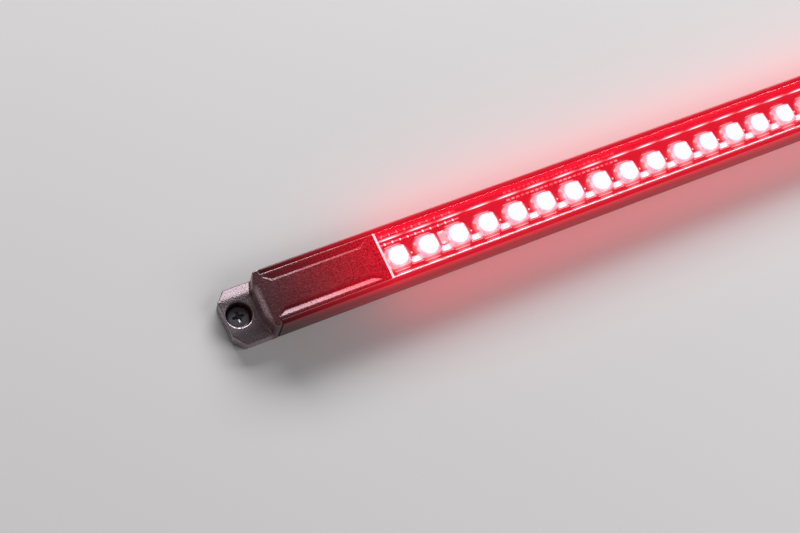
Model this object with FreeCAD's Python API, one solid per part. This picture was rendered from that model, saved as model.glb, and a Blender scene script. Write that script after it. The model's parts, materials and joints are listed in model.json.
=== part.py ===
"""Slim LED light bar: a U-shaped aluminium profile with an LED board, a clear cover and two end caps.

The bar lies along X with its middle at X = 0. Its underside is the plane Z = 0, where it meets
the surface that it is screwed to, and its shorter side lies along Y. All sizes are in millimetres.
"""
import FreeCAD, Part
import math
import os

from FreeCAD import Vector

# Row of LEDs
led_count = 24
led_pitch = 25.0 / 3.0
led_end_margin = 4.8

# Extruded profile
profile_width = 14.6
profile_height = 9.2
profile_wall = 1.2
profile_floor = 1.3
profile_edge_radius = 0.45
lip_edge_radius = 0.25

# Clearances and bonded joints
side_gap = 0.08
bond_thickness = 0.15
end_seal_thickness = 0.5
gasket_thickness = 0.4
gasket_recess = 0.15

# Clear cover
cover_plate = 2.2
cover_leg = 0.8
cover_recess = 0.1
cover_edge_radius = 0.35
foot_chamfer = 0.3

# Circuit board
board_side_gap = 0.22
board_thickness = 1.0
board_tape = 0.2
board_tuck = 6.5
tape_inset = 0.3
pad_length = 2.6
pad_width = 2.4
pad_thickness = 0.08
pad_from_end = 0.8
pad_offset = 2.2

# LED package
led_side = 5.0
led_height = 1.6
led_stand_off = 0.2
led_well_radius = 2.0
led_well_depth = 0.8
led_well_sides = 10
led_corner_mark = 0.7
terminal_width = 0.9
terminal_reach = 0.3
terminal_under = 0.6
terminal_spacing = 1.7
chip_side = 0.45
chip_height = 0.15
chip_spacing = 1.1

# Chip resistors
resistor_length = 2.0
resistor_width = 1.25
resistor_height = 0.5
resistor_cap = 0.35
resistor_led_gap = 0.15
resistor_offset = 2.0
end_resistor_length = 3.2
end_resistor_width = 1.6
end_resistor_height = 0.6
end_resistor_cap = 0.5
end_resistor_led_count = 2
end_resistor_shift = 0.4
end_resistor_offset = 0.8

# End cap
tongue_length = 29.25
tongue_edge_radius = 0.1
flange_thickness = 2.8
flange_corner_along = 1.5
flange_corner_across = 3.4
flange_corner_radius = 0.45
flange_edge_bevel = 0.2
scallop_depth = 0.6
scallop_inner = 3.95
scallop_rim = 5.4
scallop_lean = 0.35
scallop_slant = 2.0
scallop_from_flange = 0.5
scallop_from_cover = 2.65
scallop_corner_radius = 0.8
board_pocket_height = 5.6
board_pocket_margin = 0.6

# Mounting ear
ear_length = 7.9
ear_height = 4.2
ear_side_height = 3.1
ear_top_width = 8.6
ear_corner_along = 2.5
ear_corner_across = 2.75
ear_corner_radius = 0.4
ear_ridge_radius = 5.0
ear_root_radius = 0.35
ear_edge_bevel = 0.15
ear_lip = 0.35

# Mounting screw
screw_radius = 1.5
screw_length = 12.0
screw_head_radius = 2.8
screw_head_height = 1.7
screw_head_crown = 0.6
screw_neck_relief = 0.05
screw_point = 0.6
screw_hole_gap = 0.2
counterbore_gap = 0.35
counterbore_floor = 1.0
counterbore_chamfer = 0.1
recess_span = 3.0
recess_slot = 0.65
recess_depth = 1.1

# Cable outlet
outlet_radius = 1.6
outlet_hole_gap = 0.15
outlet_above_ear = 0.15
grommet_wall = 0.7
grommet_length = 6.0
outlet_wall = 2.0
wire_channel_gap = 0.3
wire_channel_top = 7.4

# Input leads
lead_radius = 0.7
lead_sides = 6
lead_bend_share = 0.45
lead_spacing = 1.5
lead_rise_start = 4.0
lead_rise_length = 7.0
joint_length = 2.2
joint_width = 1.9
joint_height = 1.2
joint_slope = 0.8

# How far a cutter reaches past the face that it opens
overcut = 0.3

# Sizes worked out from those above
half_width = profile_width / 2.0
channel_half = half_width - profile_wall
insert_half = channel_half - side_gap
cover_length = (led_count - 1) * led_pitch + 2.0 * led_end_margin
cover_end = cover_length / 2.0
tongue_end = cover_end + end_seal_thickness
flange_start = tongue_end + tongue_length
profile_end = flange_start - gasket_thickness
flange_face = flange_start + flange_thickness
ear_end = flange_face + ear_length
cover_top = profile_height - cover_recess
foot_level = profile_floor + bond_thickness
board_end = tongue_end + board_tuck
board_level = profile_floor + board_tape
board_top = board_level + board_thickness
led_bottom = board_top + led_stand_off
led_top = board_top + led_height
counterbore_radius = screw_head_radius + counterbore_gap
screw_x = ear_end - ear_lip - counterbore_radius
outlet_z = ear_height + outlet_above_ear + outlet_radius + outlet_hole_gap
grommet_radius = outlet_radius + grommet_wall
grommet_end = flange_face - outlet_wall
grommet_start = grommet_end - grommet_length
pocket_half = insert_half - cover_leg
board_half = pocket_half - board_side_gap
wire_channel_half = pad_offset + lead_radius + wire_channel_gap
resistor_back = led_side / 2.0 + terminal_reach + resistor_led_gap + resistor_length / 2.0
pocket_end = board_end + board_pocket_margin
joint_end = board_end - pad_from_end - (pad_length - joint_length) / 2.0
first_led = -(led_count - 1) * led_pitch / 2.0
led_places = [first_led + index * led_pitch for index in range(led_count)]


def box(x0, x1, y0, y1, z0, z1):
    """Block between two corners."""
    return Part.makeBox(x1 - x0, y1 - y0, z1 - z0, Vector(x0, y0, z0))


def rounded_outline(points, radii):
    """Closed wire through the points, with an arc of the given radius at each corner."""
    edges = []
    starts = []
    ends = []
    count = len(points)
    for index in range(count):
        corner = points[index]
        radius = radii[index]
        back = (points[index - 1] - corner).normalize()
        ahead = (points[(index + 1) % count] - corner).normalize()
        half_angle = back.getAngle(ahead) / 2.0
        if radius <= 0.0:
            starts.append(corner)
            ends.append(corner)
            edges.append(None)
            continue
        reach = radius / math.tan(half_angle)
        middle = (back + ahead).normalize() * (radius / math.sin(half_angle) - radius)
        start = corner + back * reach
        end = corner + ahead * reach
        starts.append(start)
        ends.append(end)
        edges.append(Part.Arc(start, corner + middle, end).toShape())
    outline = []
    for index in range(count):
        if edges[index] is not None:
            outline.append(edges[index])
        start = ends[index]
        end = starts[(index + 1) % count]
        if (end - start).Length > 1e-6:
            outline.append(Part.LineSegment(start, end).toShape())
    return Part.Wire(outline)


def bar_along_x(section, radii, x0, x1):
    """Solid with a (y, z) section, from x0 to x1."""
    points = [Vector(x0, y, z) for y, z in section]
    face = Part.Face(rounded_outline(points, radii))
    return face.extrude(Vector(x1 - x0, 0, 0))


def plate_up_z(plan, radii, z0, z1):
    """Solid with an (x, y) plan, from z0 to z1."""
    points = [Vector(x, y, z0) for x, y in plan]
    face = Part.Face(rounded_outline(points, radii))
    return face.extrude(Vector(0, 0, z1 - z0))


def disc(x, y, z0, z1, radius):
    """Upright cylinder."""
    return Part.makeCylinder(radius, z1 - z0, Vector(x, y, z0), Vector(0, 0, 1))


def regular_outline(middle, along, radius, sides):
    """Closed wire of equal straight sides round a circle's middle, square to one direction."""
    circle = Part.Circle(middle, along, radius)
    corners = [circle.value(index * 2 * math.pi / sides) for index in range(sides)]
    return Part.makePolygon(corners + corners[:1])


def to_left(shape):
    """The same piece at the other end of the bar, turned half a turn about the middle."""
    turned = shape.copy()
    turned.rotate(Vector(0, 0, 0), Vector(0, 0, 1), 180)
    return turned


def group(solids):
    """Separate solids kept together in one node."""
    return Part.makeCompound(solids)


def housing_profile():
    """U extrusion: flat floor, two thin walls, softened edges."""
    section = [
        (-half_width, 0), (half_width, 0),
        (half_width, profile_height), (channel_half, profile_height),
        (channel_half, profile_floor), (-channel_half, profile_floor),
        (-channel_half, profile_height), (-half_width, profile_height),
    ]
    radii = [profile_edge_radius, profile_edge_radius, profile_edge_radius, lip_edge_radius,
             0, 0, lip_edge_radius, profile_edge_radius]
    return bar_along_x(section, radii, -profile_end, profile_end)


def cover_section():
    """Section of the clear cover: a thick plate on two thin legs."""
    leg_inside = insert_half - cover_leg
    plate_under = cover_top - cover_plate
    chamfer = foot_chamfer
    section = [
        (-insert_half, foot_level + chamfer), (-insert_half + chamfer, foot_level),
        (-leg_inside, foot_level), (-leg_inside, plate_under),
        (leg_inside, plate_under), (leg_inside, foot_level),
        (insert_half - chamfer, foot_level), (insert_half, foot_level + chamfer),
        (insert_half, cover_top), (-insert_half, cover_top),
    ]
    radii = [0] * 8 + [cover_edge_radius, cover_edge_radius]
    return section, radii


def clear_cover():
    """Clear extrusion whose feet stand on the channel's floor, either side of the board."""
    section, radii = cover_section()
    return bar_along_x(section, radii, -cover_end, cover_end)


def cover_bond():
    """Line of adhesive under each foot of the cover."""
    outer = insert_half - foot_chamfer
    inner = insert_half - cover_leg
    right = box(-cover_end, cover_end, inner, outer, profile_floor, foot_level)
    left = box(-cover_end, cover_end, -outer, -inner, profile_floor, foot_level)
    return group([right, left])


def end_seal():
    """Clear seal between the cover's end and the cap's tongue."""
    section, radii = cover_section()
    return bar_along_x(section, radii, cover_end, tongue_end)


def flange_gasket():
    """Thin gasket between the profile's end and the cap's flange, open where the tongue passes."""
    outer = half_width - gasket_recess
    top = profile_height - gasket_recess
    section = [
        (-outer, gasket_recess), (outer, gasket_recess), (outer, top), (channel_half, top),
        (channel_half, profile_floor), (-channel_half, profile_floor),
        (-channel_half, top), (-outer, top),
    ]
    return bar_along_x(section, [0] * len(section), profile_end, flange_start)


def scallop_outline(side, level):
    """A groove's outline at one height: its walls lean out as they rise, for the mould's draft."""
    lean = scallop_lean * (level - profile_height + scallop_depth) / scallop_depth
    start = tongue_end + scallop_from_cover - lean
    end = flange_start - scallop_from_flange + lean
    inner = side * (scallop_inner - lean)
    outer = side * (scallop_rim + overcut)
    beyond = scallop_slant * overcut
    plan = [(start - beyond, outer), (start + scallop_slant, inner), (end - scallop_slant, inner),
            (end + beyond, outer)]
    corner = scallop_corner_radius
    return rounded_outline([Vector(x, y, level) for x, y in plan], [0, corner, corner, 0])


def scallop(side):
    """Cutter for the groove along one side of the tongue; its floor rises to the outer rim."""
    rise = scallop_depth / (scallop_rim - scallop_inner)
    deep = profile_height - scallop_depth - rise * overcut
    high = profile_height + rise * overcut
    column = Part.makeLoft([scallop_outline(side, deep), scallop_outline(side, high)], True, True)
    inner = side * (scallop_inner - overcut)
    outer = side * (scallop_rim + overcut)
    wedge = bar_along_x([(inner, deep), (outer, high), (inner, high)], [0, 0, 0], tongue_end, flange_start)
    return column.common(wedge)


def edges_where(shape, test):
    """Edges whose middle passes the test."""
    chosen = []
    for edge in shape.Edges:
        middle = edge.valueAt((edge.FirstParameter + edge.LastParameter) / 2.0)
        if test(edge, middle):
            chosen.append(edge)
    return chosen


def cap_tongue():
    """Block that fills the channel, with softened top edges, a board pocket and two scallops."""
    section = [
        (-insert_half, foot_level + foot_chamfer), (-insert_half + foot_chamfer, foot_level),
        (insert_half - foot_chamfer, foot_level), (insert_half, foot_level + foot_chamfer),
        (insert_half, profile_height), (-insert_half, profile_height),
    ]
    radii = [0] * 4 + [tongue_edge_radius, tongue_edge_radius]
    tongue = bar_along_x(section, radii, tongue_end, flange_start)
    for side in (-1, 1):
        tongue = tongue.cut(scallop(side))
    pocket = box(tongue_end, pocket_end, -pocket_half, pocket_half, 0, board_pocket_height)
    return tongue.cut(pocket)


def cap_flange():
    """Plate over the profile's end, flush with the profile, with two long corner chamfers."""
    chamfer_x = flange_face - flange_corner_along
    chamfer_y = half_width - flange_corner_across
    plan = [
        (flange_start, -half_width), (chamfer_x, -half_width), (flange_face, -chamfer_y),
        (flange_face, chamfer_y), (chamfer_x, half_width), (flange_start, half_width),
    ]
    radius = flange_corner_radius
    flange = plate_up_z(plan, [0, radius, radius, radius, radius, 0], 0, profile_height)

    def on_rim(edge, middle):
        level = middle.z < 1e-6 or middle.z > profile_height - 1e-6
        return level and middle.x > flange_start + 1e-3

    return flange.makeChamfer(flange_edge_bevel, edges_where(flange, on_rim))


def cap_ear():
    """Low mounting ear: flat top, sloped sides and two cut corners."""
    top_half = ear_top_width / 2.0
    section = [
        (-half_width, 0), (half_width, 0), (half_width, ear_side_height),
        (top_half, ear_height), (-top_half, ear_height), (-half_width, ear_side_height),
    ]
    ridges = [0, 0, 0, ear_ridge_radius, ear_ridge_radius, 0]
    body = bar_along_x(section, ridges, flange_start, ear_end)
    corner_x = ear_end - ear_corner_along
    corner_y = half_width - ear_corner_across
    plan = [
        (flange_start, -half_width), (corner_x, -half_width), (ear_end, -corner_y),
        (ear_end, corner_y), (corner_x, half_width), (flange_start, half_width),
    ]
    radius = ear_corner_radius
    ear = body.common(plate_up_z(plan, [0, radius, radius, radius, radius, 0], 0, ear_height))

    def on_end_rim(edge, middle):
        upright = abs(edge.tangentAt(edge.FirstParameter).z) > 0.99
        return middle.z > ear_side_height - 1e-3 and not upright and middle.x > corner_x + 0.1

    return ear.makeChamfer(ear_edge_bevel, edges_where(ear, on_end_rim))


def screw_hole():
    """Cutter for the ear: a clearance hole, a counterbore and a small bevel round its mouth."""
    bevel_start = ear_height - counterbore_chamfer
    top = ear_height + overcut
    mouth = counterbore_radius + counterbore_chamfer + overcut
    inner = screw_radius + screw_hole_gap
    outline = [
        (0, -overcut), (inner, -overcut), (inner, counterbore_floor),
        (counterbore_radius, counterbore_floor), (counterbore_radius, bevel_start), (mouth, top), (0, top),
    ]
    points = [Vector(radius, 0, z) for radius, z in outline]
    face = Part.Face(Part.makePolygon(points + points[:1]))
    cutter = face.revolve(Vector(0, 0, 0), Vector(0, 0, 1), 360)
    cutter.translate(Vector(screw_x, 0, 0))
    return cutter


def end_cap():
    """One moulding: tongue, flange and ear, with a counterbored hole for the mounting screw."""
    cap = cap_tongue().fuse(cap_flange()).fuse(cap_ear()).removeSplitter()
    inset = flange_corner_along / 2.0
    lowest = ear_side_height - ear_root_radius

    def at_root(edge, middle):
        upright = abs(edge.tangentAt(edge.FirstParameter).z) > 0.99
        beside = flange_start + inset < middle.x < flange_face + 1e-3
        return beside and not upright and lowest < middle.z < ear_height + 1e-3

    return cap.makeFillet(ear_root_radius, edges_where(cap, at_root)).cut(screw_hole())


def cable_end_cap():
    """The same cap with a wire channel, a grommet seat and the cable's outlet hole."""
    channel = box(pocket_end - overcut, grommet_start, -wire_channel_half, wire_channel_half,
                  0, wire_channel_top)
    along = Vector(1, 0, 0)
    seat = Part.makeCylinder(grommet_radius, grommet_length + overcut,
                             Vector(grommet_start - overcut, 0, outlet_z), along)
    hole = Part.makeCylinder(outlet_radius + outlet_hole_gap, outlet_wall + 2 * overcut,
                             Vector(grommet_end - overcut, 0, outlet_z), along)
    return end_cap().cut(channel).cut(seat).cut(hole)


def cap_bond(channel_end):
    """Sheet of adhesive under a tongue, open below its pocket and wire channel."""
    outer = insert_half - foot_chamfer
    sheet = box(tongue_end, profile_end, -outer, outer, profile_floor, foot_level)
    sheet = sheet.cut(box(tongue_end, pocket_end, -pocket_half, pocket_half, 0, profile_height))
    if channel_end > pocket_end:
        half = wire_channel_half
        sheet = sheet.cut(box(pocket_end - overcut, channel_end, -half, half, 0, profile_height))
    return sheet


def mounting_screw():
    """Pan head screw with a cross recess; its plain shank reaches below the ear."""
    seat = counterbore_floor
    head_top = seat + screw_head_height
    tip = seat - screw_length
    neck = screw_radius - screw_neck_relief
    span = recess_span / 2.0
    outline = [
        (0, tip), (screw_radius - screw_point, tip), (screw_radius, tip + screw_point), (screw_radius, 0),
        (neck, 0), (neck, seat), (screw_head_radius, seat), (screw_head_radius, head_top - screw_head_crown),
        (span, head_top), (0, head_top),
    ]
    points = [Vector(radius, 0, z) for radius, z in outline]
    face = Part.Face(Part.makePolygon(points + points[:1]))
    screw = face.revolve(Vector(0, 0, 0), Vector(0, 0, 1), 360)
    slot = recess_slot / 2.0
    bottom = head_top - recess_depth
    for turn in (0, 90):
        cutter = box(-span, span, -slot, slot, bottom, head_top + overcut)
        cutter.rotate(Vector(0, 0, 0), Vector(0, 0, 1), turn)
        screw = screw.cut(cutter)
    screw.translate(Vector(screw_x, 0, 0))
    return screw


def circuit_board():
    """Rigid board along the channel, its ends tucked under the caps' tongues."""
    return box(-board_end, board_end, -board_half, board_half, board_level, board_top)


def thermal_tape():
    """Tape that holds the board to the channel's floor."""
    half = board_half - tape_inset
    end = board_end - tape_inset
    return box(-end, end, -half, half, profile_floor, board_level)


def solder_pads():
    """Two bare pads at each end of the board."""
    outer = board_end - pad_from_end
    pads = []
    for side in (-1, 1):
        y = side * pad_offset
        pad = box(outer - pad_length, outer, y - pad_width / 2.0, y + pad_width / 2.0,
                  board_top, board_top + pad_thickness)
        pads.append(pad)
        pads.append(to_left(pad))
    return group(pads)


def led_well(x):
    """The round space in one LED package, with few sides because there are many LEDs."""
    middle = Vector(x, 0, led_top - led_well_depth)
    outline = regular_outline(middle, Vector(0, 0, 1), led_well_radius, led_well_sides)
    return Part.Face(outline).extrude(Vector(0, 0, led_well_depth))


def led_packages():
    """White housings, each with a round well and one cut corner."""
    half = led_side / 2.0
    mark = led_corner_mark
    packages = []
    for x in led_places:
        plan = [(x - half, -half), (x + half, -half), (x + half, half - mark),
                (x + half - mark, half), (x - half, half)]
        body = plate_up_z(plan, [0] * 5, led_bottom, led_top)
        packages.append(body.cut(led_well(x)))
    return group(packages)


def chip_boxes(x):
    """The three light-giving chips of one LED."""
    half = chip_side / 2.0
    floor = led_top - led_well_depth
    return [box(x - half, x + half, y - half, y + half, floor, floor + chip_height)
            for y in (-chip_spacing, 0, chip_spacing)]


def led_chips():
    """All the chips, three to each LED."""
    return group([chip for x in led_places for chip in chip_boxes(x)])


def led_gel():
    """Clear filling of each well, round its chips."""
    return group([led_well(x).cut(group(chip_boxes(x))) for x in led_places])


def led_terminals():
    """Six soldered feet under each LED, three to a side."""
    half = led_side / 2.0
    feet = []
    for x in led_places:
        for side in (-1, 1):
            inner = x + side * (half - terminal_under)
            outer = x + side * (half + terminal_reach)
            for y in (-terminal_spacing, 0, terminal_spacing):
                feet.append(box(min(inner, outer), max(inner, outer), y - terminal_width / 2.0,
                                y + terminal_width / 2.0, board_top, led_bottom))
    return group(feet)


def resistor_places():
    """Centres of the small resistors, one before each LED but the first."""
    return [x - resistor_back for x in led_places[1:]]


def series_resistors():
    """Ceramic bodies of the small resistors, lying along the board."""
    half = resistor_length / 2.0 - resistor_cap
    wide = resistor_width / 2.0
    return group([box(x - half, x + half, -resistor_offset - wide, -resistor_offset + wide,
                      board_top, board_top + resistor_height) for x in resistor_places()])


def series_resistor_ends():
    """Tinned ends of the small resistors."""
    half = resistor_length / 2.0
    wide = resistor_width / 2.0
    ends = []
    for x in resistor_places():
        for start in (x - half, x + half - resistor_cap):
            ends.append(box(start, start + resistor_cap, -resistor_offset - wide,
                            -resistor_offset + wide, board_top, board_top + resistor_height))
    return group(ends)


def end_resistor_centre():
    """Middle of the larger resistor, between two LEDs near the left end."""
    gap_middle = led_places[end_resistor_led_count - 1] + led_pitch / 2.0
    return gap_middle + end_resistor_shift, end_resistor_offset


def end_resistor():
    """Ceramic body of the larger resistor, set across the board."""
    x, y = end_resistor_centre()
    wide = end_resistor_width / 2.0
    half = end_resistor_length / 2.0 - end_resistor_cap
    return box(x - wide, x + wide, y - half, y + half, board_top, board_top + end_resistor_height)


def end_resistor_ends():
    """Tinned ends of the larger resistor."""
    x, y = end_resistor_centre()
    wide = end_resistor_width / 2.0
    half = end_resistor_length / 2.0
    ends = [box(x - wide, x + wide, start, start + end_resistor_cap,
                board_top, board_top + end_resistor_height)
            for start in (y - half, y + half - end_resistor_cap)]
    return group(ends)


def cable_grommet():
    """Rubber sleeve that seals round the cable, behind the outlet hole."""
    along = Vector(1, 0, 0)
    start = Vector(grommet_start, 0, outlet_z)
    sleeve = Part.makeCylinder(grommet_radius, grommet_length, start, along)
    return sleeve.cut(Part.makeCylinder(outlet_radius, grommet_length, start, along))


def lead_route(side):
    """Corners of one lead's route, from the solder on its pad to the grommet."""
    rest = board_top + pad_thickness + lead_radius
    rise_start = joint_end + lead_rise_start
    return [
        Vector(joint_end, side * pad_offset, rest),
        Vector(rise_start, side * pad_offset, rest),
        Vector(rise_start + lead_rise_length, side * lead_spacing / 2.0, outlet_z),
        Vector(grommet_start, side * lead_spacing / 2.0, outlet_z),
    ]


def lead_path(route):
    """Straight runs joined by tangent arcs, each as large as its two runs allow."""
    edges = []
    last = route[0]
    for before, corner, after in zip(route, route[1:], route[2:]):
        back = before - corner
        ahead = after - corner
        reach = lead_bend_share * min(back.Length, ahead.Length)
        start = corner + back.normalize() * reach
        end = corner + ahead.normalize() * reach
        half_angle = back.getAngle(ahead) / 2.0
        inset = reach / math.cos(half_angle) - reach * math.tan(half_angle)
        middle = corner + (back + ahead).normalize() * inset
        edges.append(Part.LineSegment(last, start).toShape())
        edges.append(Part.Arc(start, middle, end).toShape())
        last = end
    edges.append(Part.LineSegment(last, route[-1]).toShape())
    return Part.Wire(edges)


def input_lead(side):
    """Insulated lead swept along its path, with few sides because it lies hidden in the cap."""
    route = lead_route(side)
    outline = regular_outline(route[0], route[1] - route[0], lead_radius, lead_sides)
    return lead_path(route).makePipeShell([outline], True, False)


def input_joints():
    """Solder over the bared end of each lead, square where the insulation starts."""
    base = board_top + pad_thickness
    top = base + joint_height
    start = joint_end - joint_length
    side = [(start, base), (joint_end, base), (joint_end, top), (start + joint_slope, top)]
    joints = []
    for middle in (-pad_offset, pad_offset):
        points = [Vector(x, middle - joint_width / 2.0, z) for x, z in side]
        face = Part.Face(Part.makePolygon(points + points[:1]))
        joints.append(face.extrude(Vector(0, joint_width, 0)))
    return group(joints)


nodes = {
    "housing_profile": housing_profile(),
    "clear_cover": clear_cover(),
    "cover_bond": cover_bond(),
    "end_cap_left": to_left(end_cap()),
    "end_cap_right": cable_end_cap(),
    "flange_gasket_left": to_left(flange_gasket()),
    "flange_gasket_right": flange_gasket(),
    "end_seal_left": to_left(end_seal()),
    "end_seal_right": end_seal(),
    "cap_bond_left": to_left(cap_bond(pocket_end)),
    "cap_bond_right": cap_bond(grommet_start),
    "mounting_screw_left": to_left(mounting_screw()),
    "mounting_screw_right": mounting_screw(),
    "circuit_board": circuit_board(),
    "thermal_tape": thermal_tape(),
    "solder_pads": solder_pads(),
    "led_packages": led_packages(),
    "led_chips": led_chips(),
    "led_gel": led_gel(),
    "led_terminals": led_terminals(),
    "series_resistors": series_resistors(),
    "series_resistor_ends": series_resistor_ends(),
    "end_resistor": end_resistor(),
    "end_resistor_ends": end_resistor_ends(),
    "cable_grommet": cable_grommet(),
    "input_lead_positive": input_lead(1),
    "input_lead_negative": input_lead(-1),
    "input_joints": input_joints(),
}

os.makedirs("parts", exist_ok=True)
for name, shape in nodes.items():
    shape.exportStep("parts/" + name + ".step")
    print(name, len(shape.Solids), "solids,", "valid" if shape.isValid() else "NOT VALID",
          "volume %.2f" % sum(solid.Volume for solid in shape.Solids))
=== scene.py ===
# %% [markdown]
# A slim LED light bar, screwed down by an ear at each end. A dark aluminium channel holds a row of
# LEDs on a circuit board, under a clear cover, and a moulded cap closes each end. The solids come
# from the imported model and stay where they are. This lesson gives them their finishes and adds what
# is too fine for the solids: soft moulded edges, threads, solder, printed outlines and the glow.

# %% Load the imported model
import json

import bpy
import numpy as np
from mathutils import Matrix, Vector


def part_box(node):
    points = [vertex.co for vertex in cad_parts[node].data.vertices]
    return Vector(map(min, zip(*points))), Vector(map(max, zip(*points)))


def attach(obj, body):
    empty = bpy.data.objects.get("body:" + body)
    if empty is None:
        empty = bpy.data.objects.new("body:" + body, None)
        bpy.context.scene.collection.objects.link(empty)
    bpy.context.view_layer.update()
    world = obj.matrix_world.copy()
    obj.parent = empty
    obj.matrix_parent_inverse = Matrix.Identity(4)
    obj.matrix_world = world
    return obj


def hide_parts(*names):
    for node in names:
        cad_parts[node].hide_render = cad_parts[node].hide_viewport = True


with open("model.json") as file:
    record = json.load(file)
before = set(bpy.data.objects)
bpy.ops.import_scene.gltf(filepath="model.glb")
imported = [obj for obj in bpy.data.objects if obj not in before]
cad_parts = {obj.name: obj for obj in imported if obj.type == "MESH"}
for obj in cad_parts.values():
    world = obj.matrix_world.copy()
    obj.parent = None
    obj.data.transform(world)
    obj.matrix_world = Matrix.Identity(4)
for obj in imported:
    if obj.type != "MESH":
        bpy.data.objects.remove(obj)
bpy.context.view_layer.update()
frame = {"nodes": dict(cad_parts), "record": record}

MM = 0.001
nodes = frame["nodes"]
print("The packed model has", len(nodes), "pieces")

# %% [markdown]
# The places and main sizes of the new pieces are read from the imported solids, so they fit without
# any fitting by eye. The row of LEDs is even, so its pitch follows from the row's length and one
# package's width.

# %% Measure the solids
LED_COUNT = 24
cover_low, cover_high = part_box("clear_cover")
package_low, package_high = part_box("led_packages")
gel_low, gel_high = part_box("led_gel")
board_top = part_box("circuit_board")[1].z
led_side = package_high.y - package_low.y
led_pitch = (package_high.x - package_low.x - led_side) / (LED_COUNT - 1)
led_places = package_low.x + led_side / 2 + led_pitch * np.arange(LED_COUNT)
print("LED pitch", round(led_pitch / MM, 3), "mm")

# %% [markdown]
# Colours are written as sRGB hex values, the way a paint chart gives them. The renderer works in
# linear light, so one function turns the one into the other. Another function adds a shader node
# with its settings and links, and every material below is built with it. The finishes are kept
# under the names of the record's material slots.

# %% Colour and node helpers
finishes = {}


def linear(hex_colour):
    """Linear RGBA of an sRGB hex colour: the usual curve, with its short straight foot."""
    parts = [int(hex_colour[start:start + 2], 16) / 255 for start in (1, 3, 5)]
    light = [part / 12.92 if part <= 0.04045 else ((part + 0.055) / 1.055) ** 2.4 for part in parts]
    return (*light, 1.0)


def feed(material, socket, value):
    """Sets a socket to a value, or links it to an output. A node stands for its first output."""
    if isinstance(value, bpy.types.Node):
        value = value.outputs[0]
    if isinstance(value, bpy.types.NodeSocket):
        material.node_tree.links.new(value, socket)
    else:
        socket.default_value = value


def add_node(material, kind, settings=None, **inputs):
    """Adds a shader node. A colour ramp's stops are pairs of a position and a colour."""
    node = material.node_tree.nodes.new("ShaderNode" + kind)
    for key, value in (settings or {}).items():
        if key == "stops":
            for stop, (position, colour) in zip(node.color_ramp.elements, value):
                stop.position = position
                stop.color = colour
        else:
            setattr(node, key, value)
    for key, value in inputs.items():
        name = int(key[1:]) if key[1:].isdigit() else key.replace("_", " ")
        feed(material, node.inputs[name], value)
    return node


def set_shader(material, **inputs):
    """Sets or links sockets of the material's own shader."""
    shader = material.node_tree.nodes["Principled BSDF"]
    for key, value in inputs.items():
        feed(material, shader.inputs[key.replace("_", " ")], value)
    return material


def new_material(name, colour, **values):
    """A material whose shader has a base colour, and values that are the same all over."""
    material = bpy.data.materials.new(name)
    material.use_nodes = True
    material.diffuse_color = linear(colour)
    print("Finish", name)
    return set_shader(material, Base_Color=linear(colour), **values)


def place(material):
    """The point's place on the object, in metres."""
    return add_node(material, "TexCoord").outputs["Object"]


# %% [markdown]
# No real surface is even. One noise can both bump a surface and vary its gloss: here the peaks of
# a grain are also its dullest spots. A noise seldom leaves the middle of its range, so only that
# part is spread over the roughness.

# %% Unevenness
NOISE_MIDDLE = {"From_Min": 0.3, "From_Max": 0.7}


def uneven(material, noise, bumps, depth, gloss=0.0):
    """Bumps the surface by a noise, up to a depth in millimetres. The roughness goes up and down
    with it, by the gloss."""
    height = add_node(material, "Bump", Height=noise, Strength=bumps, Distance=depth * MM)
    set_shader(material, Normal=height)
    if gloss:
        middle = material.node_tree.nodes["Principled BSDF"].inputs["Roughness"].default_value
        varied = add_node(material, "MapRange", Value=noise, To_Min=middle - gloss,
                          To_Max=middle + gloss, **NOISE_MIDDLE)
        set_shader(material, Roughness=varied)
    return material


def plain_finish(name, colour, grain=0.4, bumps=0.15, depth=0.03, **values):
    """A finish with fine noise on its gloss and its surface. Grain and depth are in millimetres."""
    material = new_material(name, colour, **values)
    noise = add_node(material, "TexNoise", Vector=place(material), Scale=1 / (grain * MM),
                     Detail=2.0)
    return uneven(material, noise, bumps, depth, gloss=0.2 * values["Roughness"])


# %% [markdown]
# The caps are moulded in dark, glass-filled nylon. The mould was etched, which leaves an even grain
# of about a third of a millimetre that breaks the highlights up into small sparkles. Noise makes the
# grain: a fine one bumps the surface and also varies the gloss, and a broad one shifts the tone.
# Outer corners get a painted highlight, a paler colour, and Pointiness, which is high on an outer
# corner, finds them.

# %% Moulded nylon, for the end caps
GRAIN = 0.35 * MM
CLOUD = 9 * MM


def moulded_nylon():
    """Dark satin plastic with an etched grain, a tone that drifts and a painted highlight on outer
    corners.
    """
    material = new_material("glass_filled_nylon", "#5a4f53", Roughness=0.28, Metallic=0.85)
    where = place(material)
    grain = add_node(material, "TexNoise", Vector=where, Scale=1 / GRAIN, Detail=3.0, Roughness=0.6)
    cloud = add_node(material, "TexNoise", Vector=where, Scale=1 / CLOUD, Detail=2.0)
    tone = add_node(material, "ValToRGB", Fac=cloud,
                    settings={"stops": [(0.3, linear("#53484c")), (0.7, linear("#60555a"))]})
    # Painted highlight: outer corners are mixed towards a pale colour, standing in for the bright
    # lines of light on round edges.
    corner = add_node(material, "NewGeometry").outputs["Pointiness"]
    painted_edge_highlight = add_node(material, "MapRange", Value=corner, From_Min=0.52, From_Max=0.58)
    tone_with_painted_highlight = add_node(material, "Mix", {"data_type": "RGBA"}, _0=painted_edge_highlight, _6=tone, _7=linear("#b8a8ad"))
    set_shader(material, Base_Color=tone_with_painted_highlight.outputs[2])
    return uneven(material, grain, bumps=0.8, depth=0.09, gloss=0.06)


print("Grain of the caps", round(GRAIN / MM, 2), "mm")

# %% [markdown]
# The channel is extruded aluminium, anodised black. The die leaves faint lines along the bar and
# the anodising turns the metal's shine to a dark satin. Noise that is drawn out a hundred times
# along the bar makes the lines.

# %% Anodised aluminium, for the channel
DIE_LINE = 0.25 * MM


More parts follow.
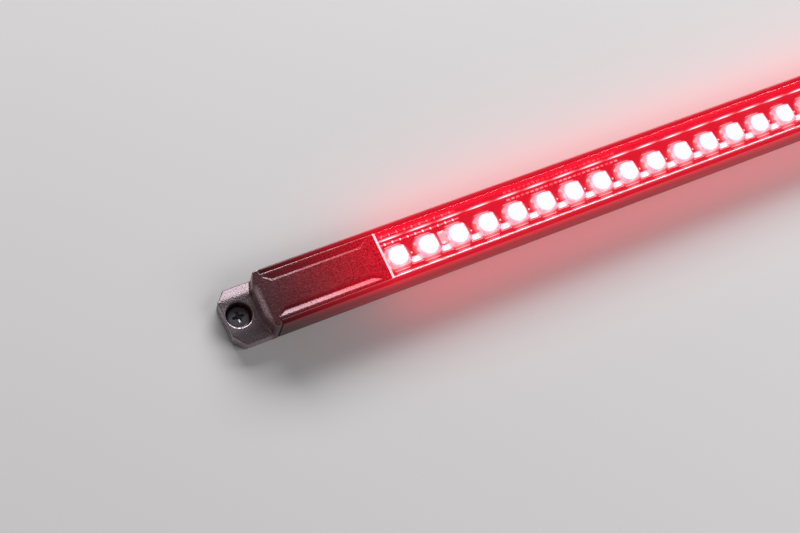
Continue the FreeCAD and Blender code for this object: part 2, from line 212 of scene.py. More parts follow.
def anodised_aluminium():
    """Dark satin metal with die lines along X."""
    material = new_material("anodised_aluminium", "#332d2f", Roughness=0.29, Metallic=0.9)
    drawn = add_node(material, "Mapping", Vector=place(material), Scale=(0.01, 1.0, 1.0))
    lines = add_node(material, "TexNoise", Vector=drawn, Scale=1 / DIE_LINE, Detail=2.0)
    return uneven(material, lines, bumps=0.2, depth=0.02, gloss=0.07)


print("Die lines of the channel", round(DIE_LINE / MM, 2), "mm")

# %% [markdown]
# The cover is clear polycarbonate, drawn through a die, so faint lines run along it as well. It
# bends light strongly, which is why its edges pick up the LEDs as long bright lines. Its
# reflections are tinted, because red light from inside mixes with them.

# %% Clear polycarbonate, for the cover
DRAW_LINE = 0.8 * MM


def clear_polycarbonate():
    """Clear plastic with faint draw lines along X."""
    material = new_material("clear_polycarbonate", "#f7f8fa", Roughness=0.015, IOR=1.585,
                            Transmission_Weight=1.0, Specular_Tint=linear("#ff95a0"))
    drawn = add_node(material, "Mapping", Vector=place(material), Scale=(0.02, 1.0, 1.0))
    lines = add_node(material, "TexNoise", Vector=drawn, Scale=1 / DRAW_LINE)
    return uneven(material, lines, bumps=0.05, depth=0.02)


print("Draw lines of the cover", round(DRAW_LINE / MM, 2), "mm")

# %% [markdown]
# The LEDs' light has two tones. Close to an LED it is so strong that a camera sees pink or white,
# and further off it is a deep red. What is round the LEDs glows by itself here, because the
# renderer's lamps don't shine through clear plastic. How strongly depends on the place on the
# object: each glow is a product of steps, and a step goes from one level to another between two
# places. A cosine with the LEDs' pitch makes a glow swell beside each of them.

# %% Tones and steps of the light
LED_RED = "#ff1630"
LED_DEEP = linear(LED_RED)
LED_HOT = linear("#ff8990")
RISE = (0.0, 1.0)
COVER_END = 100.6
CAP_TIP = 140.0


def parts_of(material):
    """X, Y and Z of the point in metres, and X and Y without their signs, as along and across."""
    parts = add_node(material, "SeparateXYZ", Vector=place(material)).outputs
    at = {axis: parts[axis] for axis in "XYZ"}
    for name, axis in (("along", "X"), ("across", "Y")):
        at[name] = add_node(material, "Math", {"operation": "ABSOLUTE"}, _0=parts[axis]).outputs[0]
    return at


def level(material, *factors):
    """Product of factors. A factor is a node, an output, or a step: a coordinate, two places on it
    in millimetres, and the values at the two, which stay the same beyond them."""
    product = None
    for factor in factors:
        if isinstance(factor, tuple):
            value, (start, end), (first, last) = factor
            factor = add_node(material, "MapRange", Value=value, From_Min=start * MM,
                              From_Max=end * MM, To_Min=first, To_Max=last)
        if product is None:
            product = factor
        else:
            product = add_node(material, "Math", {"operation": "MULTIPLY"}, _0=product, _1=factor)
    return product


print("Tones of the light: red", LED_RED, "and close to an LED pink or white")

# %% Swelling beside each LED, and fading past the cover
def wave_along(material, x, low, high):
    """Rises from low halfway between two LEDs to high beside each: minus the cosine of X."""
    turns = add_node(material, "Math", {"operation": "MULTIPLY"}, _0=x, _1=2 * np.pi / led_pitch)
    wave = add_node(material, "Math", {"operation": "COSINE"}, _0=turns)
    return add_node(material, "MapRange", Value=wave, From_Min=1.0, From_Max=-1.0,
                    To_Min=low, To_Max=high)


def past_cover(at):
    """Two equal steps, so the product falls with the square of the distance left to the tip."""
    step = (at["along"], (CAP_TIP, COVER_END), RISE)
    return step, step


print("The light fades from", COVER_END, "to", CAP_TIP, "mm from the bar's middle")

# %% [markdown]
# Light runs along inside the cover's legs and leaves at their feet and at the near top edge. Only
# an outer face shines: seen from inside the plastic it would fill the whole leg with light.

# %% The cover's glow
FOOT_START, FOOT_FADE = (2.2, 2.4), (4.6, 2.6)
LEG_FACE = (5.3, 5.25)
EDGE_HEIGHT, EDGE_PLACE = (8.5, 8.8), (-5.5, -5.8)


def light_guide(material):
    """A wavy line at the foot of each leg's inner face, and a weaker one at the near top edge."""
    at = parts_of(material)
    fade = (at["Z"], FOOT_FADE, RISE)
    foot = level(material, fade, fade, (at["Z"], FOOT_START, RISE),
                 (at["across"], LEG_FACE, (0.04, 1.0)), wave_along(material, at["X"], 0.35, 6.0))
    edge = level(material, (at["Z"], EDGE_HEIGHT, RISE), (at["Y"], EDGE_PLACE, RISE),
                 wave_along(material, at["X"], 0.0, 0.8))
    both = add_node(material, "Math", {"operation": "ADD"}, _0=foot, _1=edge)
    inner = add_node(material, "NewGeometry").outputs["Backfacing"]
    outer = add_node(material, "Math", {"operation": "SUBTRACT"}, _0=1.0, _1=inner)
    return set_shader(material, Emission_Color=LED_HOT,
                      Emission_Strength=level(material, both, outer))


finishes["clear_polycarbonate"] = light_guide(clear_polycarbonate())

# %% [markdown]
# The channel's inside is bathed in red between the caps. Its lips and outer walls only get what
# the cover scatters, so they are weaker and fade downwards, and past the cover they fade out.

# %% The channel's glow
INSIDE, OUTSIDE = (6.14, 6.11), (6.11, 6.14)
BETWEEN_CAPS = (101.2, COVER_END)
LIP, WALL_MIDDLE, WALL_LOW = 9.2, 6.0, 5.0
UNDERSIDE = (0.1, 1.2)


def lit_channel(material):
    """Strong inside the channel between the caps, weaker on its lips and down its outside."""
    at = parts_of(material)
    inside = level(material, (at["across"], INSIDE, RISE), (at["along"], BETWEEN_CAPS, RISE),
                   (at["Z"], (LIP, WALL_MIDDLE), (0.5, 0.9)))
    outside = level(material, (at["across"], OUTSIDE, RISE), *past_cover(at),
                    (at["Z"], (WALL_LOW, LIP), (0.22, 0.65)))
    both = add_node(material, "Math", {"operation": "ADD"}, _0=inside, _1=outside)
    power = level(material, both, (at["Z"], UNDERSIDE, RISE))
    return set_shader(material, Emission_Color=LED_DEEP, Emission_Strength=power)


finishes["anodised_aluminium"] = lit_channel(anodised_aluminium())

# %% [markdown]
# Each cap carries painted red light beside the cover, in its colour and in a glow broken up by its
# grain, and has nearly its own dark colour at the flange. The ear beyond the flange has painted
# light: its colour is mixed paler.

# %% The caps' glow
EAR_START, EAR_SIDE = (131.6, 132.4), (4.2, 2.5)
CAP_HEIGHT = (6.5, 8.5)


def lit_cap(material):
    """Painted red light that falls off along the cap, in its glow and its colour, and a paler painted
    ear.
    """
    at = parts_of(material)
    near_cover = level(material, *past_cover(at))
    # Painted light: the ear's colour is mixed towards a pale one, as if more light fell on it.
    painted_ear_light = level(material, (at["along"], EAR_START, (0.0, 0.9)), (at["Y"], EAR_SIDE, RISE))
    tone_with_painted_highlight = material.node_tree.nodes["Principled BSDF"].inputs["Base Color"].links[0].from_socket
    with_painted_ear_light = add_node(material, "Mix", {"data_type": "RGBA"}, _0=painted_ear_light, _6=tone_with_painted_highlight, _7=linear("#b3a3a9"))
    # Painted red light: the colour turns dark red towards the cover, besides the glow.
    with_painted_red_light = add_node(material, "Mix", {"data_type": "RGBA"}, _0=near_cover, _6=with_painted_ear_light.outputs[2],
                      _7=linear("#600f1a"))
    grain = add_node(material, "TexNoise", Vector=place(material), Scale=1 / GRAIN, Detail=3.0)
    patchy = add_node(material, "MapRange", Value=grain, To_Min=0.4, To_Max=1.6, **NOISE_MIDDLE)
    power = level(material, (at["Z"], CAP_HEIGHT, (0.2, 0.6)), patchy, near_cover)
    return set_shader(material, Base_Color=with_painted_red_light.outputs[2], Emission_Color=LED_DEEP,
                      Emission_Strength=power)


finishes["cap_moulding"] = lit_cap(moulded_nylon())

# %% [markdown]
# The seals are clear silicone. Between cap and cover the silicone is thin and shows a bright pink
# line. The same silicone holds the cover's legs down, and there it is a deep red.

# %% The seals' glow
SEAL = (100.5, COVER_END)


def lit_seal(material):
    """Pink and stronger past the cover's end, deep red beside its legs."""
    along = parts_of(material)["along"]
    tint = add_node(material, "ValToRGB", {"stops": [(0.0, LED_DEEP), (1.0, LED_HOT)]},
                    Fac=level(material, (along, SEAL, RISE)))
    return set_shader(material, Emission_Color=tint,
                      Emission_Strength=level(material, (along, SEAL, (0.3, 0.8))))


finishes["clear_silicone"] = lit_seal(
    plain_finish("clear_silicone", "#f6eeee", Roughness=0.2, IOR=1.41, Transmission_Weight=1.0))

# %% [markdown]
# On the board, the light depends on the distance from the nearest LED's middle: white or pink up
# close, and weaker or redder further off. The Math node's Wrap repeats one LED's stretch of X along
# the whole row, so one distance serves them all.

# %% The board's glow
def lit(material, near, far, start, reach, far_tint=LED_DEEP):
    """Near and hot up to the start, far and in its own tint from the reach on, in millimetres."""
    parts = add_node(material, "SeparateXYZ", Vector=place(material)).outputs
    stretch = add_node(material, "Math", {"operation": "WRAP"}, _0=parts["X"], _1=led_pitch, _2=0.0)
    off = add_node(material, "Math", {"operation": "SUBTRACT"}, _0=stretch, _1=led_pitch / 2)
    both = add_node(material, "CombineXYZ", X=off, Y=parts["Y"])
    away = add_node(material, "VectorMath", {"operation": "LENGTH"}, _0=both).outputs["Value"]
    close = level(material, (away, (start, reach), (1.0, 0.0)))
    power = add_node(material, "MapRange", Value=close, To_Min=far, To_Max=near)
    tint = add_node(material, "ValToRGB", {"stops": [(0.0, far_tint), (1.0, LED_HOT)]}, Fac=close)
    return set_shader(material, Emission_Color=tint, Emission_Strength=power)


def lit_resistor(material):
    """Painted LED light: the small resistors beside the LEDs glow pale, the large one further in
    pink.
    """
    power = level(material, (parts_of(material)["Y"], (-1.3, -0.9), (5.0, 1.7)))
    return set_shader(material, Emission_Color=LED_HOT, Emission_Strength=power)


# Black solder mask, a satin lacquer that takes on the colour of the light
finishes["board_laminate"] = lit(plain_finish("solder_mask", "#150e10", Roughness=0.35),
                                 near=1.1, far=0.85, start=2.6, reach=4.0)
# Printed lines are matt and pale, so they stand out in the red
finishes["legend"] = lit(plain_finish("white_print", "#d8d4d2", Roughness=0.5),
                         near=2.6, far=1.5, start=2.6, reach=5.5)
# Solder and tinned ends shine with painted glints of the LEDs, in small bright spots
finishes["tinned_copper"] = lit(
    plain_finish("tin_solder", "#d5d5da", Roughness=0.25, Metallic=1.0),
    near=0.5, far=3.2, start=3.0, reach=4.2, far_tint=LED_HOT)
# White nylon packages glow round their wells, and the gel in the wells is the light itself
finishes["led_housing"] = lit(plain_finish("white_nylon", "#f2eeea", Roughness=0.4),
                              near=6.5, far=1.0, start=1.7, reach=2.7, far_tint=LED_HOT)
finishes["led_gel"] = lit(plain_finish("silicone_gel", "#ffb4b4", Roughness=0.2),
                          near=6.5, far=4.0, start=2.2, reach=4.0)
finishes["led_chip"] = lit(plain_finish("led_chip", "#ff6a60", Roughness=0.3),
                           near=6.0, far=6.0, start=1.0, reach=4.0)
# Glazed ceramic is smooth and dark grey, with a soft shine, under painted LED light
finishes["resistor_ceramic"] = lit_resistor(
    plain_finish("glazed_ceramic", "#4a4446", Roughness=0.25))

# %% [markdown]
# The other finishes get no light from the LEDs. The rubber gasket is dull and nearly black, so it
# reads as a dark line. The screws are blackened steel, with a satin shine on the worn metal. The
# thermal tape is a pale matt film, and the leads' vinyl has a soft gloss.

# %% Plain finishes
finishes["gasket_rubber"] = plain_finish("black_rubber", "#141314", Roughness=0.7)
finishes["screw_steel"] = plain_finish("blackened_steel", "#8a858a", grain=0.2, bumps=0.05,
                                       Roughness=0.35, Metallic=1.0)
finishes["tape"] = plain_finish("thermal_tape", "#d8d8d6", Roughness=0.6)
finishes["lead_red"] = plain_finish("red_vinyl", "#b01c1c", Roughness=0.4)
finishes["lead_black"] = plain_finish("black_vinyl", "#1c1b1c", Roughness=0.4)
print("Finishes:", len(finishes))

# %% [markdown]
# The record names a material slot for every solid, so one loop dresses them all. Their meshes and
# places aren't touched.

# %% Dress the solids
slot_of = {row["node"]: row["material_slot"] for row in frame["record"]["subparts"]}
for node, slot in slot_of.items():
    nodes[node].data.materials.clear()
    nodes[node].data.materials.append(finishes[slot])
print("Dressed solids:", len(slot_of))

# %% [markdown]
# A new piece is a mesh made from arrays of points. Each function below works its points out on a
# grid of two parameters, and this cell turns the grid into faces and puts the piece on its body.

# %% Make a mesh piece from grids of points
def grid_faces(rows, columns, first):
    """Four-sided faces between the points of a grid whose rows are closed rings."""
    row, column = np.meshgrid(np.arange(rows - 1), np.arange(columns), indexing="ij")
    beside = (column + 1) % columns
    corners = [row * columns + column, row * columns + beside,
               (row + 1) * columns + beside, (row + 1) * columns + column]
    return np.stack(corners, -1).reshape(-1, 4) + first


def ring_solids(grids):
    """Points and faces of closed solids, each a stack of rings from its underside to its top."""
    points, faces, first = [], [], 0
    for grid in grids:
        rows, columns = grid.shape[:2]
        points.append(grid.reshape(-1, 3))
        faces += grid_faces(rows, columns, first).tolist()
        faces.append(list(range(first + columns - 1, first - 1, -1)))
        faces.append(list(range(first + (rows - 1) * columns, first + rows * columns)))
        first += rows * columns
    return np.concatenate(points), faces


def new_piece(name, points, faces, slot, body="light", replaced=(), smooth=True, sharp=None):
    """A mesh object that rides on a body and takes its finish from one of the record's slots. Edges
    sharper than an angle in degrees stay crisp."""
    mesh = bpy.data.meshes.new(name)
    mesh.from_pydata(points.tolist(), [], faces)
    mesh.polygons.foreach_set("use_smooth", [smooth] * len(mesh.polygons))
    if sharp:
        mesh.set_sharp_from_angle(angle=np.radians(sharp))
    mesh.materials.append(finishes[slot])
    piece = bpy.data.objects.new(name, mesh)
    bpy.context.scene.collection.objects.link(piece)
    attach(piece, body)
    if replaced:
        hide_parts(*replaced)
    print(name, len(mesh.vertices), "points")
    return piece


# %% [markdown]
# A moulding has no sharp edges: every one is rounded, by a few tenths of a millimetre here, and the
# round edges catch the light as thin bright lines. A bevel on each edge would trip over the small
# facets where several meet. So a copy of the solid gets a new skin of even squares, and smoothing
# that skin rounds every edge alike and leaves the flat faces flat.

# %% Soft-edged caps
WELD_GAP = 0.001 * MM
SKIN_CELL = 0.158 * MM
SMOOTHING_ROUNDS = 3


def soft_copy(node, name):
    """A copy of a solid with an even skin, each point then moved towards its neighbours' middle."""
    draft = bpy.data.objects.new(name, nodes[node].data.copy())
    bpy.context.scene.collection.objects.link(draft)
    weld = draft.modifiers.new("weld", "WELD")
    weld.merge_threshold = WELD_GAP
    skin = draft.modifiers.new("skin", "REMESH")
    skin.mode = "VOXEL"
    skin.voxel_size = SKIN_CELL
    relax = draft.modifiers.new("relax", "SMOOTH")
    relax.iterations = SMOOTHING_ROUNDS
    ready = draft.evaluated_get(bpy.context.evaluated_depsgraph_get())
    mesh = bpy.data.meshes.new_from_object(ready)
    mesh.polygons.foreach_set("use_smooth", [True] * len(mesh.polygons))
    draft.modifiers.clear()
    draft.data = mesh
    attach(draft, "light")
    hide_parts(node)
    print(name, len(mesh.vertices), "points")


for side in ("left", "right"):
    soft_copy("end_cap_" + side, "moulded_cap_" + side)

# %% [markdown]
# An LED package is a white cup: a square body with one cut corner, and a round well that widens
# upwards like a reflector. Its outline is the curve |x|^n + |y|^n = 1, which for a large n is a
# square with rounded corners, and each ring below is that curve or a circle at its own height.

# %% LED packages and their gel
RING = 48
SQUARENESS = 16
CORNER_CUT = 0.7 * MM
CUP_EDGE = 0.12 * MM
CUP_FLOOR = 0.78
GEL_GAP = 0.01 * MM
led_bottom, led_top = package_low.z, package_high.z
well_radius = gel_high.x - led_places[-1]
well_floor = gel_low.z
angles = np.linspace(0, 2 * np.pi, RING, endpoint=False)


def circle(radius):
    """Distance from the middle for each angle: the same all round."""
    return np.full(RING, radius)


def cut_square(half):
    """Distance from the middle for each angle: |x|^16 + |y|^16 = half^16, with one corner cut off
    by the line x + y = 2 half - cut."""
    cosine, sine = np.cos(angles), np.sin(angles)
    square = half / (np.abs(cosine) ** SQUARENESS + np.abs(sine) ** SQUARENESS) ** (1 / SQUARENESS)
    slanted = (2 * half - CORNER_CUT) / np.maximum(cosine + sine, 0.2)
    return np.minimum(square, slanted)


def rings_at(rings, x):
    """Stack of rings round a place on the row, each a distance for every angle and a height."""
    grid = np.empty((len(rings), RING, 3))
    for row, (distance, height) in enumerate(rings):
        grid[row] = np.stack([x + distance * np.cos(angles), distance * np.sin(angles),
                              np.full(RING, height)], -1)
    return grid


half_side = led_side / 2
cup_rings = [
    (cut_square(half_side), led_bottom),
    (cut_square(half_side), led_top - CUP_EDGE),
    (cut_square(half_side - CUP_EDGE / 2), led_top - CUP_EDGE / 4),
    (cut_square(half_side - CUP_EDGE), led_top),
    (circle(well_radius + CUP_EDGE / 2), led_top),
    (circle(well_radius), led_top - CUP_EDGE / 2),
    (circle(well_radius * CUP_FLOOR), well_floor),
]
new_piece("led_cups", *ring_solids([rings_at(cup_rings, x) for x in led_places]), "led_housing",
          replaced=["led_packages"], sharp=35)

gel_rings = [
    (circle(well_radius * CUP_FLOOR), well_floor + GEL_GAP),
    (circle(well_radius - GEL_GAP), led_top - CUP_EDGE / 2),
    (circle(well_radius * 0.8), led_top - CUP_EDGE),
    (circle(well_radius * 0.4), led_top - CUP_EDGE * 1.4),
    (circle(well_radius * 0.05), led_top - CUP_EDGE * 1.5),
]
new_piece("led_lenses", *ring_solids([rings_at(gel_rings, x) for x in led_places]), "led_gel",
          replaced=["led_gel", "led_chips"])

# %% [markdown]
# Solder rises against each terminal as a small bright bead. A bead is the upper half of an
# ellipsoid: its height follows the square root of one minus the distance squared. There are over a
# hundred, so each has only a few dozen faces.

# %% Solder beads at the LEDs
BEAD_RINGS, BEAD_SIDES = 5, 12
TOP_OF_BEAD = 0.94 * np.pi / 2


def beads(name, centres, long, wide, height):
    """Half ellipsoids on the board, which reach this long and wide from their middles: rings of
    cos(t) times the reach, at sin(t) of the height."""
    steps = np.linspace(0, TOP_OF_BEAD, BEAD_RINGS)[:, None]
    turn = np.linspace(0, 2 * np.pi, BEAD_SIDES, endpoint=False)
    bead = np.stack([long * np.cos(steps) * np.cos(turn), wide * np.cos(steps) * np.sin(turn),
                     board_top + height * np.sin(steps) + 0 * turn], -1)
    new_piece(name, *ring_solids([bead + (x, y, 0) for x, y in centres]), "tinned_copper")


TERMINAL_ROWS = np.array([-1.7, 0.0, 1.7]) * MM
terminal_reach = half_side + 0.3 * MM
terminals = [(x + side * terminal_reach, y)
             for x in led_places for side in (-1, 1) for y in TERMINAL_ROWS]
beads("terminal_solder", terminals, long=0.3 * MM, wide=0.42 * MM, height=0.22 * MM)

# %% [markdown]
# A chip resistor is a small ceramic block with a tinned cap over each end, and solder climbs up the
# caps. The blocks' corners are rounded the way the packages' are, from rings that come in at the
# top and the bottom. Their places and sizes come from the solids, except for the length, which is
# a standard one.

# %% Chip resistors with rounded edges
SMALL_LENGTH = 2.0 * MM
TIN = 0.35 * MM
BLOCK_CORNER = 0.12
tin_low, tin_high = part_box("series_resistor_ends")
small_width = tin_high.y - tin_low.y
small_height = tin_high.z - tin_low.z
small_y = (tin_low.y + tin_high.y) / 2
small_x = led_places[1:] - (led_places[1] - (tin_low.x + SMALL_LENGTH / 2))


def rounded_blocks(centres, size, edge):
    """Boxes as stacks of rings. A ring is sign(cos t) |cos t|^0.12 by sign(sin t) |sin t|^0.12,
    and the lowest and highest ones are drawn in by the edge."""
    long, wide, high = size
    corner = np.sign(np.cos(angles)) * np.abs(np.cos(angles)) ** BLOCK_CORNER
    across = np.sign(np.sin(angles)) * np.abs(np.sin(angles)) ** BLOCK_CORNER
    rows = [np.stack([(long / 2 - inset) * corner, (wide / 2 - inset) * across,
                      np.full(RING, board_top + height)], -1)
            for inset, height in ((edge, 0), (0, edge), (0, high - edge), (edge, high))]
    return [np.stack(rows) + (x, y, 0) for x, y in centres]


def at_both_ends(reach):
    """Two places for each small resistor, at a distance from its middle."""
    return [(x + side * reach, small_y) for x in small_x for side in (-1, 1)]


bodies = rounded_blocks([(x, small_y) for x in small_x],
                        (SMALL_LENGTH - 2 * TIN, small_width - 0.04 * MM, small_height - 0.03 * MM),
                        0.05 * MM)
new_piece("resistor_bodies", *ring_solids(bodies), "resistor_ceramic",
          replaced=["series_resistors"], sharp=40)
caps = rounded_blocks(at_both_ends((SMALL_LENGTH - TIN) / 2), (TIN, small_width, small_height),
                      0.07 * MM)
new_piece("resistor_caps", *ring_solids(caps), "tinned_copper",
          replaced=["series_resistor_ends"], sharp=40)
beads("resistor_solder", at_both_ends(SMALL_LENGTH / 2 + 0.02 * MM),
      long=0.26 * MM, wide=0.5 * small_width, height=0.7 * small_height)

# %% [markdown]
# The board carries pale print: an outline round each small resistor, a bar beside each LED and two
# rows of dashes. An outline is a closed loop, so it is a flat frame of four loops of corners, two
# on the board and two just above it. A bar or a dash is a box of two loops.

# %% Printed outlines, bars and dashes
PRINT_LINE = 0.12 * MM
PRINT_HEIGHT = 0.02 * MM
CORNERS = np.array([(-1, -1), (1, -1), (1, 1), (-1, 1)], float)
FAR_ROW, NEAR_ROW = 4.2 * MM, -3.9 * MM


def loop_at(corners, height):
    """Four corners at a height above the board."""
    return np.column_stack([corners, np.full(4, board_top + height)])


def frames(centres, size):
    """Flat frames: outer loops below and above, then inner ones above and below, in a ring."""
    outer = CORNERS * np.array(size) / 2
    inner = outer - CORNERS * PRINT_LINE
    stack = [(outer, 0), (outer, PRINT_HEIGHT), (inner, PRINT_HEIGHT), (inner, 0)]
    points = [loop_at(loop + centre, height) for centre in centres for loop, height in stack]
    corner, row = np.meshgrid(np.arange(4), np.arange(4))
    beside, above = (corner + 1) % 4, (row + 1) % 4
    joined = np.stack([4 * row + corner, 4 * row + beside,
                       4 * above + beside, 4 * above + corner], -1)
    first = 16 * np.arange(len(centres))[:, None, None]
    return np.concatenate(points), (joined.reshape(-1, 4) + first).reshape(-1, 4).tolist()


def strips(rows):
    """Thin printed bars: each row is a middle and a size."""
    grids = []
    for x, y, long, wide in rows:
        corners = CORNERS * (long / 2, wide / 2) + (x, y)
        grids.append(np.stack([loop_at(corners, 0), loop_at(corners, PRINT_HEIGHT)]))
    return ring_solids(grids)


def printed(name, points, faces):
    """A printed piece: the board's slot, with the pale print on it."""
    piece = new_piece(name, points, faces, "board_laminate", smooth=False)
    piece.data.materials[0] = finishes["legend"]


# %% Print them on the board
PAD_STEP, DASH_STEP = 2.1 * MM, 1.4 * MM
led_outline = led_side + 1.5 * MM
row_start = led_places[0] - half_side
printed("resistor_outlines", *frames([(x, small_y) for x in small_x],
                                     (SMALL_LENGTH + 0.9 * MM, small_width + 0.6 * MM)))
printed("led_outlines", *strips([(x, side * led_outline / 2, 0.8 * led_side, PRINT_LINE)
                                 for x in led_places for side in (-1, 1)]))
dashes = [(row_start + PAD_STEP * step, FAR_ROW, 1.1 * MM, 2 * PRINT_LINE) for step in range(11)]
dashes += [(led_places[4] + DASH_STEP * step, FAR_ROW, 0.9 * MM, 3 * PRINT_LINE)
           for step in range(24)]
dashes += [(x, NEAR_ROW, 0.7 * led_side, PRINT_LINE) for x in led_places]
printed("assembly_marks", *strips(dashes))

# %% [markdown]
# Round tinned pads stand between the first dashes, where a probe tests the board. Beside each
# resistor a via, a plated hole filled with solder, leads to the board's other side. A small square
# on the cut corner of each LED package marks its cathode; it glows with painted LED light.

# %% Test pads, vias and cathode marks
PAD_REACH = 0.3 * MM
VIA_REACH, VIA_OFF = 0.22 * MM, 0.45 * MM
MARK_SIDE, MARK_X, MARK_Y = 0.6 * MM, 1.95 * MM, 1.85 * MM
pads = [(row_start + PAD_STEP * (step + 0.5), FAR_ROW) for step in range(10)]
beads("test_pads", pads, long=PAD_REACH, wide=PAD_REACH, height=0.08 * MM)

# The marks take the gel's finish, so they glow with painted LED light.
cathodes = rounded_blocks([(x + MARK_X, MARK_Y) for x in led_places],
                          (MARK_SIDE, MARK_SIDE, 0.05 * MM), 0.02 * MM)
points, faces = ring_solids(cathodes)
new_piece("cathode_marks", points + (0, 0, led_top - board_top), faces, "led_gel")

vias = [(x - VIA_OFF, 0.0) for x in small_x]
beads("vias", vias, long=VIA_REACH, wide=VIA_REACH, height=0.06 * MM)

# %% [markdown]
# The mounting screw has a low pan head with a cross recess and a rolled thread. The head is a
# surface of distance and angle whose height drops inside the cross. The thread is a ridge that
# climbs by one pitch a turn: its radius is a triangle wave of height minus angle.

# %% Mounting screws
THREAD_PITCH = 0.5 * MM
THREAD_DEPTH = 0.27 * MM
SHANK_RADIUS = 1.5 * MM
HEAD_HEIGHT = 1.7 * MM
CROWN = 0.5 * MM
SLOT_HALF, SLOT_SLOPE = 0.36 * MM, 0.07 * MM
SLOT_REACH, SLOT_END = 1.5 * MM, 0.35 * MM
MIDDLE_REACH, MIDDLE_SLOPE = 0.75 * MM, 0.2 * MM
RIM = [0.53, 0.985, 1.0, 1.0]


def screw_head(radius, seat, top):
    """Rings from the seat's rim up over the crown to the middle. The crown is a quarter circle past
    0.8 of the radius, and the cross takes a depth of 1.05 mm less 0.35 of the distance out of it."""
    turn = np.linspace(0, 2 * np.pi, 128, endpoint=False)
    share = np.concatenate([RIM, [0.985, 0.95], np.linspace(0.9, 0.01, 44)])
    bend = np.clip((share - 0.8) / 0.2, 0, 1)
    height = top - CROWN * (1 - np.sqrt(1 - 0.98 * bend ** 2))
    height[:len(RIM)] = [seat, seat, seat + 0.1 * MM, top - CROWN]
    reach, around = np.meshgrid(share * radius, turn, indexing="ij")
    x, y = reach * np.cos(around), reach * np.sin(around)
    inner = np.minimum(np.abs(x), np.abs(y))
    outer = np.maximum(np.abs(x), np.abs(y))
    narrow = np.clip((SLOT_HALF - inner) / SLOT_SLOPE, 0, 1)
    ending = np.clip((SLOT_REACH - outer) / SLOT_END, 0, 1)
    middle = np.clip((MIDDLE_REACH - reach) / MIDDLE_SLOPE, 0, 1)
    depth = (1.05 * MM - 0.35 * reach) * np.maximum(narrow * ending, middle)
    depth[:len(RIM)] = 0
    return np.stack([x, y, height[:, None] - depth], -1)


def screw_shank(tip, top):
    """Rings up the shank: the radius falls from crest to root and back over each pitch. It grows
    from the point over the first 0.8 mm, and the thread dies out in the last 0.6 mm."""
    turn = np.linspace(0, 2 * np.pi, 48, endpoint=False)
    heights = np.linspace(tip, top, int((top - tip) / THREAD_PITCH * 10))
    height, around = np.meshgrid(heights, turn, indexing="ij")
    phase = (height / THREAD_PITCH - around / (2 * np.pi)) % 1
    ridge = np.abs(2 * phase - 1)
    point = np.clip((height - tip) / (0.8 * MM), 0.35, 1)
    neck = np.clip((top - height) / (0.6 * MM), 0, 1)
    reach = (SHANK_RADIUS - THREAD_DEPTH * (1 - ridge) * neck - 0.05 * MM * (1 - neck)) * point
    return np.stack([reach * np.cos(around), reach * np.sin(around), height], -1)


for side in ("left", "right"):
    node = "mounting_screw_" + side
    low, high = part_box(node)
    seat = high.z - HEAD_HEIGHT
    middle = ((low.x + high.x) / 2, 0, 0)
    head = screw_head((high.x - low.x) / 2, seat, high.z) + middle
    shank = screw_shank(low.z, seat + 0.05 * MM) + middle
    new_piece("detailed_screw_" + side, *ring_solids([shank, head]), "screw_steel",
              body="screw_" + side, replaced=[node], sharp=35)

# %% [markdown]
# The studio is a wide sheet of pale card, a large soft lamp behind the bar, which draws bright lines
# along its edges, and a weaker one in front. Small lamps inside the cover light the channel round
# the LEDs, and two long, unseen ones beside the bar stand for the light that the cover scatters
# to the floor.

# %% Floor
FLOOR_HALF = 3.0
FLOOR_GAP = 0.02 * MM
mesh = bpy.data.meshes.new("studio_floor")
mesh.from_pydata([(x * FLOOR_HALF, y * FLOOR_HALF, 0) for x, y in CORNERS], [], [(0, 1, 2, 3)])
mesh.materials.append(plain_finish("pale_card", "#d0cecf", Roughness=0.7))
floor = bpy.data.objects.new("studio_floor", mesh)
floor.location.z = -FLOOR_GAP
bpy.context.scene.collection.objects.link(floor)
print("Floor", 2 * FLOOR_HALF, "m wide")

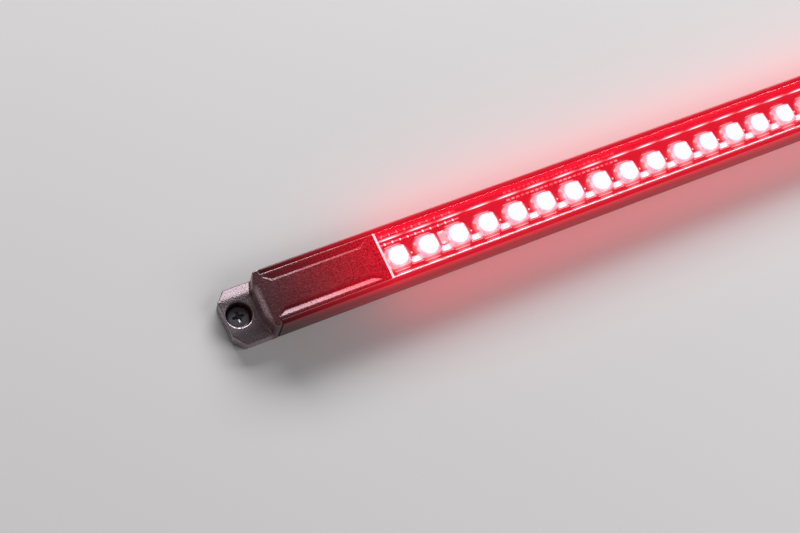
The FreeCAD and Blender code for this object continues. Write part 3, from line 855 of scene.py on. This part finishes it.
# %% Lamps
def area_lamp(name, place_at, look_at, size, power, colour="#ffffff", seen=True):
    """A rectangular lamp that faces a point. An unseen one gives light but no mirror image."""
    lamp = bpy.data.lights.new(name, "AREA")
    lamp.shape = "RECTANGLE"
    lamp.size, lamp.size_y = size
    lamp.energy = power
    lamp.color = linear(colour)[:3]
    piece = bpy.data.objects.new(name, lamp)
    bpy.context.scene.collection.objects.link(piece)
    piece.location = place_at
    aim = Vector(look_at) - Vector(place_at)
    piece.rotation_euler = aim.to_track_quat("-Z", "Y").to_euler()
    piece.visible_camera = False
    piece.visible_glossy = seen
    piece.visible_transmission = seen


aimed_at = (-0.1, 0.0, 0.0)
area_lamp("key_lamp", (0.268, 0.992, 0.576), aimed_at, size=(1.44, 0.416), power=23.0)
area_lamp("fill_lamp", (0.5, -0.45, 0.6), aimed_at, size=(0.7, 0.7), power=5.0, seen=False)

LED_LAMP = 4 * MM
under_cover = cover_high.z - 2.4 * MM
for number, x in enumerate(led_places):
    area_lamp("led_spill_%02d" % number, (x, 0, under_cover), (x, 0, 0),
              size=(LED_LAMP, LED_LAMP), power=0.002, colour=LED_RED, seen=False)
cover_long = cover_high.x - cover_low.x
for side, name in ((-1, "near"), (1, "far")):
    area_lamp("side_glow_" + name, (0, side * 10 * MM, 13 * MM), (0, side * 7 * MM, 0),
              size=(cover_long, LED_LAMP), power=0.01, colour=LED_RED, seen=False)

world = bpy.data.worlds.new("studio")
world.use_nodes = True
sky = world.node_tree.nodes["Background"].inputs
sky["Color"].default_value = (0.9, 0.9, 0.92, 1)
sky["Strength"].default_value = 0.07
bpy.context.scene.world = world
print("Lamps:", len(bpy.data.lights))

# %% [markdown]
# The camera stands where the photograph's did. Its three directions are unit vectors at right
# angles: to the picture's right, upwards, and back from the object to the camera.

# %% Camera
lens = bpy.data.cameras.new("camera")
lens.lens = 66.735
lens.sensor_width = 36.0
lens.clip_start = 0.01
right = Vector((0.88482, -0.42138, 0.19884))
up = Vector((0.32746, 0.86597, 0.37798))
back = Vector((-0.33146, -0.26933, 0.90421))
camera = bpy.data.objects.new("camera", lens)
turned = Matrix((right, up, back)).transposed().to_4x4()
camera.matrix_world = Matrix.Translation((-0.215113, -0.09894, 0.32775)) @ turned
bpy.context.scene.collection.objects.link(camera)
bpy.context.scene.camera = camera
bpy.context.scene.view_settings.view_transform = "Standard"
print("Camera", round(camera.matrix_world.translation.length, 3), "m from the bar's middle")
